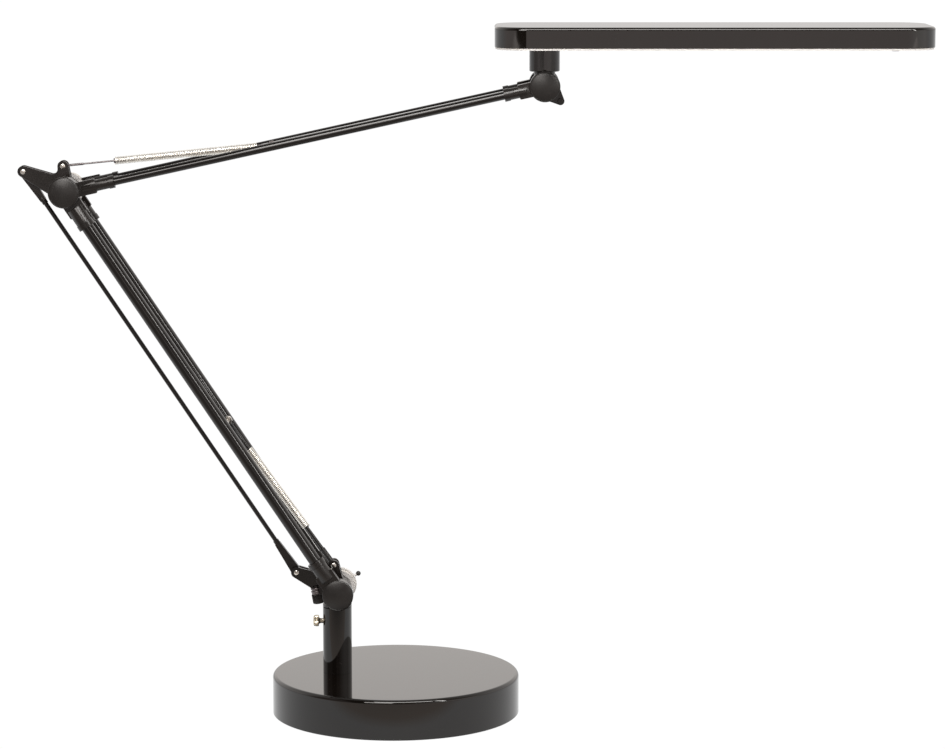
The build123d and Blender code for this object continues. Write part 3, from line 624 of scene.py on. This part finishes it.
def coilSpring(name, node, start, end, reach, hookReach):
    k = springSizes
    way = (end - start).normalized()
    length = (end - start).length - reach - hookReach
    turns = int(length / k["pitch"])
    steps = turns * k["stepsPerTurn"]
    section = Matrix.Translation((k["outer"] - k["wire"], 0, 0)) @ Matrix.Rotation(radians(90), 4, "X")
    bm = bmesh.new()
    bmesh.ops.create_circle(bm, cap_ends=False, segments=k["sides"], radius=k["wire"], matrix=section)
    bmesh.ops.spin(
        bm, geom=bm.verts[:] + bm.edges[:], cent=(0, 0, 0), axis=(0, 0, 1), dvec=(0, 0, length / steps),
        angle=tau * turns, steps=steps, use_merge=False, use_duplicate=False)
    bmesh.ops.holes_fill(bm, edges=[e for e in bm.edges if e.is_boundary], sides=k["sides"] + 1)
    bmesh.ops.transform(bm, matrix=along(start + way * reach, way), verts=bm.verts)
    keepMesh(name, bm, "spring", node, (node,), 60)
    print(name, turns, "turns over", round(length * 1000, 1), "mm")


k = springSizes
coilSpring("lowerSpring", "lower_spring", springBase, lowerCross, k["lowerFrom"], k["lowerHook"])
coilSpring("upperSpring", "upper_spring", springElbow, upperCross, k["upperFrom"], k["upperHook"])

# Head: a lacquered shell with round corners and a soft upper edge, open underneath
headSizes = {
    "wall": 0.0018, "corner": 0.026, "cornerSteps": 20, "edge": 0.0026, "edgeSteps": 8, "boxSlack": 0.000002,
}


def bevelEdges(bm, edges, offset, segments):
    bmesh.ops.bevel(
        bm, geom=edges, offset=offset, offset_type="OFFSET", segments=segments, profile=0.5,
        affect="EDGES", material=-1)
    bm.normal_update()


def faceAt(bm, level, way):  # the one flat face at that height which looks up (1) or down (-1)
    return next(f for f in bm.faces if f.normal.z * way > 0.9 and abs(f.calc_center_median().z - level) < 1e-5)


k = headSizes
low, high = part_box("head_shell")
high.z -= k["boxSlack"]
size = high - low
block = Matrix.Translation((high + low) / 2) @ Matrix.Diagonal((*size, 1))
bm = bmesh.new()
bmesh.ops.create_cube(bm, size=1.0, matrix=block)
upright = [e for e in bm.edges if abs(e.verts[0].co.z - e.verts[1].co.z) > size.z * 0.5]
bevelEdges(bm, upright, k["corner"], k["cornerSteps"])
bevelEdges(bm, faceAt(bm, high.z, 1).edges[:], k["edge"], k["edgeSteps"])
under = faceAt(bm, low.z, -1)
bmesh.ops.inset_individual(bm, faces=[under], thickness=k["wall"], use_even_offset=True)
bmesh.ops.translate(bm, verts=under.verts, vec=(0, 0, size.z - k["wall"]))
evenNormals(keepMesh("headShell", bm, "headLacquer", "head", ("head_shell",), 40))
print("head shell made")

# Diffuser and collar, as in the CAD
dress("diffuser", "opal", 0.00025)
dress("swivel_collar", "collar", 0.0003)
print("diffuser made")

# Touch button: a dished face with a fine ring, and a flange that holds it behind the diffuser
buttonSizes = {
    "radius": 0.0032, "dish": 0.00035, "ring": 0.0018, "flange": 0.0012, "edge": 0.0007, "steps": 48,
}
k = buttonSizes
centre = middle("touch_button")
centre.z = 0
lowZ, highZ = (corner.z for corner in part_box("touch_button"))
outer, wide, shelf = k["radius"], k["radius"] + k["flange"], highZ - k["flange"]
points = [
    (0, lowZ + k["dish"]), (k["ring"] - 0.0004, lowZ + k["dish"] * 0.8), (k["ring"], lowZ + k["dish"] * 0.7),
    (k["ring"] + 0.0001, lowZ + 0.0001), (outer - 0.0006, lowZ), (outer - 0.0002, lowZ + 0.0002),
    (outer, lowZ + k["edge"]), (outer, shelf), (wide, shelf), (wide, highZ), (0, highZ)]
button = lathe(points, k["steps"], Matrix.Translation(centre))
keepMesh("touchButton", button, "button", "button", ("touch_button",), 40)
print("touch button made")


def fluted(profile, radius, flutes, depth, turn):  # a turned grip with cut flutes
    bm = lathe(profile, flutes * 4)
    for v in bm.verts:
        r = sqrt(v.co.x ** 2 + v.co.y ** 2)
        if r > radius * 0.93:
            wave = 0.5 - 0.5 * cos(atan2(v.co.y, v.co.x) * flutes)
            v.co.x *= 1 - wave * depth / r
            v.co.y *= 1 - wave * depth / r
    bmesh.ops.transform(bm, matrix=turn, verts=bm.verts)
    return bm


# Knob under the base bracket: a cup, two rings and a spacer over a knurled grip.
# The lines give shares of the radius, and heights past the gap; gripEnd counts from the knob's length.
knobSizes = {
    "radius": 0.0049, "length": 0.0155, "gap": 0.0003, "stud": 0.0015, "studReach": 0.0050, "studEdge": 0.0003,
    "flutes": 34, "depth": 0.00030, "steps": 56,
    "cup": [(0, 0), (0.74, 0), (0.82, 0.0003), (0.84, 0.0017), (0.80, 0.0020), (0, 0.0020)],
    "rings": [
        (0, 0.0020), (0.62, 0.0020), (0.94, 0.0021), (0.98, 0.0024), (0.98, 0.0033), (0.94, 0.0036), (0.78, 0.0037),
        (0.78, 0.0046), (0.94, 0.0047), (0.98, 0.0050), (0.98, 0.0057), (0.94, 0.0060), (0.62, 0.0061), (0, 0.0061)],
    "spacer": [(0, 0.0061), (0.90, 0.0061), (0.92, 0.0064), (0.92, 0.0073), (0.88, 0.0075), (0, 0.0075)],
    "grip": [(0, 0.0075), (0.90, 0.0075), (0.94, 0.0078), (1, 0.0084)],
    "gripEnd": [(0.965, -0.0012), (0.93, -0.0004), (0.80, 0), (0.45, 0), (0.40, -0.0006), (0, -0.0006)],
}
k = knobSizes
knobJoint = next(j for j in frame["joints"] if j["name"] == "tension_knob_turn")
turn = along(Vector(knobJoint["pos_m"]), Vector(knobJoint["axis"]))


def knobLine(part, past=0):
    return [(knobSizes["radius"] * share, knobSizes["gap"] + past + z) for share, z in knobSizes[part]]


studTop = -k["studReach"] + k["studEdge"]
stud = [
    (0, studTop), (k["stud"] - k["studEdge"], studTop), (k["stud"], studTop + 0.0005),
    (k["stud"], k["gap"] + 0.0004)]
rings = join(lathe(stud, 24, turn), lathe(knobLine("rings"), k["steps"], turn))
keepMesh("knobWashers", rings, "darkNickel", "tension_knob")
keepMesh("knobSpacer", lathe(knobLine("spacer"), k["steps"], turn), "darkNickel", "tension_knob")
gripLine = knobLine("grip") + knobLine("gripEnd", k["length"])
grip = fluted(gripLine, k["radius"], k["flutes"], k["depth"], turn)
knob = join(lathe(knobLine("cup"), 48, turn), grip)
keepMesh("tensionKnob", knob, "moulding", "tension_knob", ("tension_knob",))
print("tension knob made")

# Thumbscrew in the post: shank, cone and knurled mushroom head
thumbSizes = {
    "shank": 0.0020, "head": 0.0046, "thick": 0.0045, "crownFrom": 0.0022, "crownTurn": 0.0014, "crownSteps": 7,
    "standoff": 0.0018, "neck": 0.0014, "knurls": 28, "knurlDepth": 0.00032, "postRadius": 0.0117, "tip": 0.00845,
}
k = thumbSizes
turn = along(Vector((middle("post").x, 0, middle("thumbscrew").z)), -sideways)
shank, head = k["shank"], k["head"]
neckStart = k["postRadius"] + k["standoff"]
headStart = neckStart + k["neck"]
headEnd = headStart + k["thick"]
shankLine = [
    (0, k["tip"]), (shank - 0.0003, k["tip"]), (shank, k["tip"] + 0.0004), (shank, neckStart),
    (shank + 0.0002, neckStart + 0.0004), (head * 0.58, headStart - 0.0002), (head * 0.64, headStart), (0, headStart)]
headLine = [
    (0, headStart), (head - 0.0007, headStart), (head - 0.0001, headStart + 0.0004), (head, headStart + 0.0010),
    (head, headStart + k["crownFrom"])]
for i in range(1, k["crownSteps"] + 1):
    a = radians(90) * i / k["crownSteps"]
    rise = k["crownFrom"] + (k["thick"] - k["crownFrom"]) * sin(a)
    headLine.append((head - k["crownTurn"] * (1 - cos(a)), headStart + rise))
headLine += [(head * 0.45, headEnd), (head * 0.40, headEnd - 0.0003), (0, headEnd - 0.0003)]
screw = join(lathe(shankLine, 32, turn), fluted(headLine, head, k["knurls"], k["knurlDepth"], turn))
keepMesh("thumbScrew", screw, "thumbscrew", "thumbscrew", ("thumbscrew",))
print("thumbscrew made")

# Lock lever behind the base pivot: a turned disc, a stem and a ball
leverSizes = {
    "radius": 0.0138, "thickness": 0.0029, "stem": 0.0010, "stemFrom": 0.0118, "stemTo": 0.0166,
    "recess": 0.0004, "recessOuter": 0.62, "recessInner": 0.36, "steps": 84, "ballSteps": 14,
}
k = leverSizes
ballAt = middle("lever_ball")
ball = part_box("lever_ball")[1].y - ballAt.y
discAt = Vector((basePivot.x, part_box("lock_lever")[0].y, basePivot.z))
r, t, dip = k["radius"], k["thickness"], k["thickness"] - k["recess"]
discLine = [
    (0, 0), (r - 0.0004, 0), (r, 0.0004), (r, t - 0.0009), (r - 0.0003, t - 0.0004), (r - 0.0012, t),
    (r * k["recessOuter"], t), (r * (k["recessOuter"] - 0.04), dip),
    (r * (k["recessInner"] + 0.04), dip), (r * k["recessInner"], t), (0, t)]
disc = lathe(discLine, k["steps"], along(discAt, acrossLamp, sideways))
stemAt = Vector((basePivot.x, ballAt.y, basePivot.z))
leverWay = (ballAt - stemAt).normalized()
stemLine = [(0, k["stemFrom"]), (k["stem"], k["stemFrom"]), (k["stem"], k["stemTo"]), (0, k["stemTo"])]
lever = join(disc, lathe(stemLine, 24, along(stemAt, leverWay)))
keepMesh("lockLever", lever, "turned", "lock_lever", ("lock_lever",))
angles = [pi * i / k["ballSteps"] for i in range(1, k["ballSteps"])]
ballLine = [(0, -ball)] + [(ball * sin(a), -ball * cos(a)) for a in angles] + [(0, ball)]
knobBall = lathe(ballLine, 28, along(ballAt, leverWay))
keepMesh("leverBall", knobBall, "cap", "lock_lever", ("lever_ball",), 60)
print("lock lever made")

# Every CAD node has a finish for its slot, whether it is replaced or not
slotFinish = {
    "foot_rubber": "rubber", "cast_iron": "iron", "gloss_cover": "lacquer", "post_paint": "post",
    "tube_paint": "tube", "moulded_black": "moulding", "cap_black": "cap", "steel_bright": "zinc",
    "thumbscrew_nickel": "thumbscrew", "rod_black": "rod", "wire_steel": "nickel", "spring_steel": "spring",
    "head_gloss": "headLacquer", "diffuser_white": "opal", "board_aluminium": "board", "led_yellow": "phosphor",
    "driver_black": "driver", "button_grey": "button",
}
for entry in frame["record"]["subparts"]:
    materials = nodes[entry["node"]].data.materials
    materials.clear()
    materials.append(finishes[slotFinish[entry["material_slot"]]])

# Studio: a table that shines white behind the lamp, with painted shade in a band in front of the lamp and a painted
# glow further out, a dimmer room in front, and the photograph's camera.
# Painted table light stops are shares of the reach in front of the lamp; sky stops run from straight down (0) to
# straight up (1).
studio = {
    "lens": 131.08, "sensor": 36.0, "camera": (0.06237, -2.73615, 0.68274), "pitch": 0.14704, "reach": 9.0,
    "paintedTableLight": [
        (0.0, (1.02, 1.02, 1.02)), (0.0160, (1.02, 1.02, 1.02)), (0.019, (0.80, 0.70, 0.63)),
        (0.030, (0.62, 0.55, 0.50)), (0.046, (0.34, 0.31, 0.29)), (0.16, (0.33, 0.30, 0.29)),
        (0.45, (0.62, 0.58, 0.55)), (0.75, (1.5, 1.36, 1.3)), (1.0, (2.3, 2.1, 2.0))],
    "skyBehind": [
        (0.483, (1.02, 1.02, 1.02)), (0.495, (0.66, 0.64, 0.63)), (0.55, (0.92, 0.89, 0.87)),
        (0.60, (1.26, 1.20, 1.15)), (0.725, (1.1, 1.06, 1.03)), (1.0, (0.40, 0.39, 0.38))],
    "skyFront": [(0.485, (1.12, 1.0, 0.96)), (0.52, (0.19, 0.16, 0.15)), (1.0, (0.40, 0.36, 0.34))],
    "darkTone": (0.03, 0.03, 0.03, 1), "windowTone": (1.4, 1.35, 1.3, 1),
    "lights": [
        ("stripBox", (0.25, -1.2, 1.7), (0.2, 0, 0.5), (1.6, 0.35), 30, (1, 0.98, 0.95)),
        ("skyBox", (-0.6, -2.1, 1.5), (0, 0, 0.4), (1.1, 0.9), 24, (1, 0.95, 0.91)),
        ("sideStrip", (1.55, -1.45, 1.45), (-0.15, 0, 0.26), (0.16, 1.3), 14, (1, 0.98, 0.95))],
}


def makePaintedLightTable():
    material, g = newMaterial("paintedLightTable")
    ahead = g.add("ShaderNodeSeparateXYZ", {}, {"Vector": g.place()}, "Y")
    g.feed("Base Color", (0, 0, 0, 1))
    g.feed("Roughness", g.steps(g.noise(3.0, 2.0), 0.95, 1.0))
    g.feed("IOR", 1.0)
    # The emission is painted light: even white behind the lamp, painted shade in a band just in front of it, and a
    # brighter painted glow far out.
    g.feed("Emission Color", g.tones(ahead / -studio["reach"], studio["paintedTableLight"]))
    g.feed("Emission Strength", 1.0)
    return material


bm = bmesh.new()
bmesh.ops.create_grid(bm, x_segments=1, y_segments=1, size=studio["reach"])
mesh = bpy.data.meshes.new("paintedLightTable")
bm.to_mesh(mesh)
bm.free()
mesh.materials.append(makePaintedLightTable())
paintedTableLight = bpy.data.objects.new("paintedLightTable", mesh)
scene.collection.objects.link(paintedTableLight)

world = bpy.data.worlds.new("studioWorld")
g = Graph(world, "Background")
way = g.add("ShaderNodeTexCoord", {}, {}, "Generated")
right, ahead, up = [g.add("ShaderNodeSeparateXYZ", {}, {"Vector": way}, axis) for axis in "XYZ"]
height = g.steps(up, 0, 1, -1, 1)
inFront = g.steps(ahead, 1, 0, -0.2, 0.15)
band = g.steps(right, 0, 1, -0.70, -0.60) * g.steps(right, 1, 0, -0.12, -0.08) * inFront
window = g.steps(right, 0, 1, 0.25, 0.85) * g.steps(up, 1, 0, 0.15, 0.5) * inFront
front = g.blend(band, g.tones(height, studio["skyFront"]), studio["darkTone"])
room = g.blend(window, front, studio["windowTone"])
g.feed("Color", g.blend(inFront, g.tones(height, studio["skyBehind"]), room))
g.feed("Strength", 1.0)
scene.world = world


def softbox(name, place, target, size, power, colour):
    light = bpy.data.lights.new(name, "AREA")
    light.shape = "RECTANGLE"
    light.size, light.size_y = size
    light.energy = power
    light.color = colour
    holder = bpy.data.objects.new(name, light)
    holder.location = place
    holder.rotation_euler = (Vector(target) - Vector(place)).to_track_quat("-Z", "Y").to_euler()
    scene.collection.objects.link(holder)


for entry in studio["lights"]:
    softbox(*entry)

camera = bpy.data.cameras.new("photoCamera")
camera.sensor_width = studio["sensor"]
camera.lens = studio["lens"]
cameraHolder = bpy.data.objects.new("photoCamera", camera)
cameraHolder.location = studio["camera"]
cameraHolder.rotation_euler = (pi / 2 - studio["pitch"], 0, 0)
scene.collection.objects.link(cameraHolder)
scene.camera = cameraHolder
scene.view_settings.view_transform = "Standard"
scene.view_settings.look = "None"
print("studio set")
